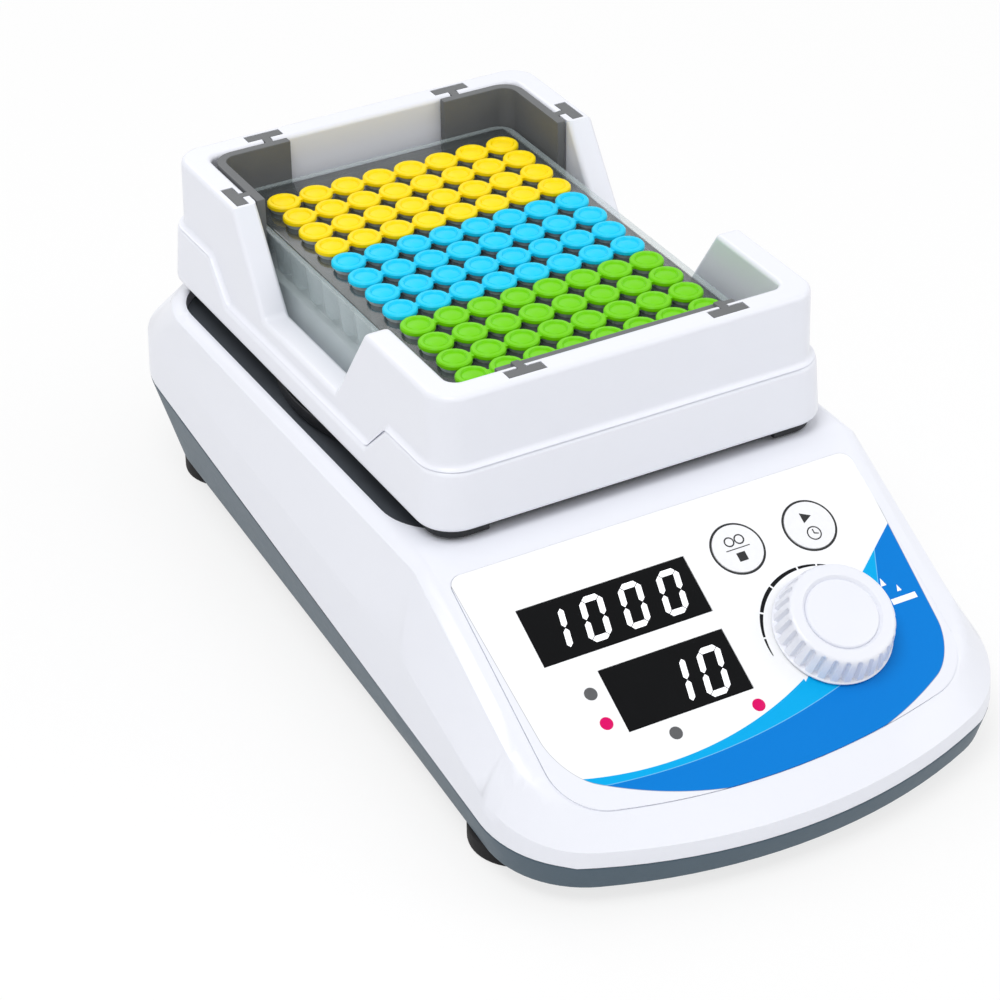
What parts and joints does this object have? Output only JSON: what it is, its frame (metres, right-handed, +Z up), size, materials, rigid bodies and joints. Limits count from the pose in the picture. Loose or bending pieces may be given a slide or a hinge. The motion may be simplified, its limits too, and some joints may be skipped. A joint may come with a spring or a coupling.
{
  "type": "microplate shaker",
  "caption": "Bench microplate shaker: a flared base with a sloping control panel under an orbiting two-tier tray that holds a rack of capped tubes.",
  "frame": {"origin": "on the floor under the middle of the base, level with the undersides of the feet; the motor axis is 26.75 mm behind it", "axes": "+X to the right, +Y to the back, +Z up; the control panel faces -Y"},
  "size_m": [0.1334, 0.2434, 0.0945],
  "materials": {
    "white_shell": "satin",
    "slate_shell": "satin",
    "foot_rubber": "matte",
    "screw_steel": "satin",
    "label_print": "satin",
    "window_black": "gloss",
    "digit_light": "matte",
    "lamp_lens": "gloss",
    "board_green": "matte",
    "part_black": "satin",
    "motor_steel": "satin",
    "plate_steel": "satin",
    "brass_part": "satin",
    "disc_black": "satin",
    "insert_grey": "matte",
    "clear_rack": "gloss",
    "clear_tube": "gloss",
    "cap_green": "satin",
    "cap_cyan": "satin",
    "cap_yellow": "satin",
    "knob_white": "satin"
  },
  "bodies": {
    "base": {"housing": "white_shell", "base_pan": "slate_shell", "feet": "foot_rubber", "housing_screws": "screw_steel", "panel_label": "label_print", "speed_window": "window_black", "time_window": "window_black", "speed_digits": "digit_light", "time_digits": "digit_light", "indicator_lamps": "lamp_lens", "control_board": "board_green", "board_posts": "white_shell", "key_switches": "part_black", "dial_sensor": "part_black", "motor": "motor_steel", "motor_plate": "plate_steel", "grommets": "foot_rubber", "plate_screws": "screw_steel", "idler_bearing_left": "brass_part", "idler_bearing_right": "brass_part", "power_jack": "part_black", "switch_frame": "part_black"},
    "drive": {"drive_shaft": "screw_steel", "eccentric": "plate_steel", "counterweight": "brass_part"},
    "idler_left": {"idler_left": "plate_steel"},
    "idler_right": {"idler_right": "plate_steel"},
    "platform": {"drive_disc": "disc_black", "pin_bearing": "screw_steel", "carrier_plate": "disc_black", "tray": "white_shell", "tray_screws": "screw_steel"},
    "left_guide": {"corner_guide_left": "insert_grey"},
    "right_guide": {"corner_guide_right": "insert_grey"},
    "front_guide_body": {"front_guide": "insert_grey"},
    "tube_rack": {"rack": "clear_rack", "tube_block": "clear_tube"},
    "strips_green": {"caps_green": "cap_green"},
    "strips_cyan": {"caps_cyan": "cap_cyan"},
    "strips_yellow": {"caps_yellow": "cap_yellow"},
    "speed_knob": {"knob": "knob_white", "knob_cap": "knob_white", "knob_shaft": "screw_steel"},
    "mode_key": {"key_mode": "label_print"},
    "start_key": {"key_start": "label_print"},
    "mains_rocker": {"power_rocker": "part_black"}
  },
  "joints": [
    {"name": "drive_spin", "type": "hinge", "parent": "base", "child": "drive", "pos_m": [0, 0.02675, 0.045], "axis": [0, 0, 1], "continuous": true},
    {"name": "platform_counterspin", "type": "hinge", "parent": "drive", "child": "platform", "pos_m": [0, 0.02875, 0.053], "axis": [0, 0, 1], "continuous": true},
    {"name": "idler_left_spin", "type": "hinge", "parent": "base", "child": "idler_left", "pos_m": [-0.032, 0.05675, 0.045], "axis": [0, 0, 1], "continuous": true},
    {"name": "idler_right_spin", "type": "hinge", "parent": "base", "child": "idler_right", "pos_m": [0.032, 0.05675, 0.045], "axis": [0, 0, 1], "continuous": true},
    {"name": "rack_lift", "type": "slide", "parent": "platform", "child": "tube_rack", "axis": [0, 0, 1], "range_m": [0, 0.04]},
    {"name": "left_guide_lift", "type": "slide", "parent": "platform", "child": "left_guide", "axis": [0, 0, 1], "range_m": [0, 0.04]},
    {"name": "right_guide_lift", "type": "slide", "parent": "platform", "child": "right_guide", "axis": [0, 0, 1], "range_m": [0, 0.04]},
    {"name": "front_guide_lift", "type": "slide", "parent": "platform", "child": "front_guide_body", "axis": [0, 0, 1], "range_m": [0, 0.04]},
    {"name": "green_strips_lift", "type": "slide", "parent": "tube_rack", "child": "strips_green", "axis": [0, 0, 1], "range_m": [0, 0.02]},
    {"name": "cyan_strips_lift", "type": "slide", "parent": "tube_rack", "child": "strips_cyan", "axis": [0, 0, 1], "range_m": [0, 0.02]},
    {"name": "yellow_strips_lift", "type": "slide", "parent": "tube_rack", "child": "strips_yellow", "axis": [0, 0, 1], "range_m": [0, 0.02]},
    {"name": "knob_turn", "type": "hinge", "parent": "base", "child": "speed_knob", "pos_m": [0.0266, -0.08697, 0.03351], "axis": [0, -0.4924, 0.8704], "range_deg": [-135, 135]},
    {"name": "mode_key_press", "type": "slide", "parent": "base", "child": "mode_key", "axis": [0, 0.4924, -0.8704], "range_m": [0, 0.0005], "stiffness_N_per_m": 600, "springref_m": -0.0005},
    {"name": "start_key_press", "type": "slide", "parent": "base", "child": "start_key", "axis": [0, 0.4924, -0.8704], "range_m": [0, 0.0005], "stiffness_N_per_m": 600, "springref_m": -0.0005},
    {"name": "rocker_tip", "type": "hinge", "parent": "base", "child": "mains_rocker", "pos_m": [-0.012, 0.10825, 0.0185], "axis": [1, 0, 0], "range_deg": [0, 16]}
  ],
  "couplings": [
    {"joint": "platform_counterspin", "follows": "drive_spin", "ratio": -1},
    {"joint": "idler_left_spin", "follows": "drive_spin", "ratio": 1},
    {"joint": "idler_right_spin", "follows": "drive_spin", "ratio": 1},
    {"joint": "left_guide_lift", "follows": "rack_lift", "ratio": 1},
    {"joint": "right_guide_lift", "follows": "rack_lift", "ratio": 1},
    {"joint": "front_guide_lift", "follows": "rack_lift", "ratio": 1}
  ]
}
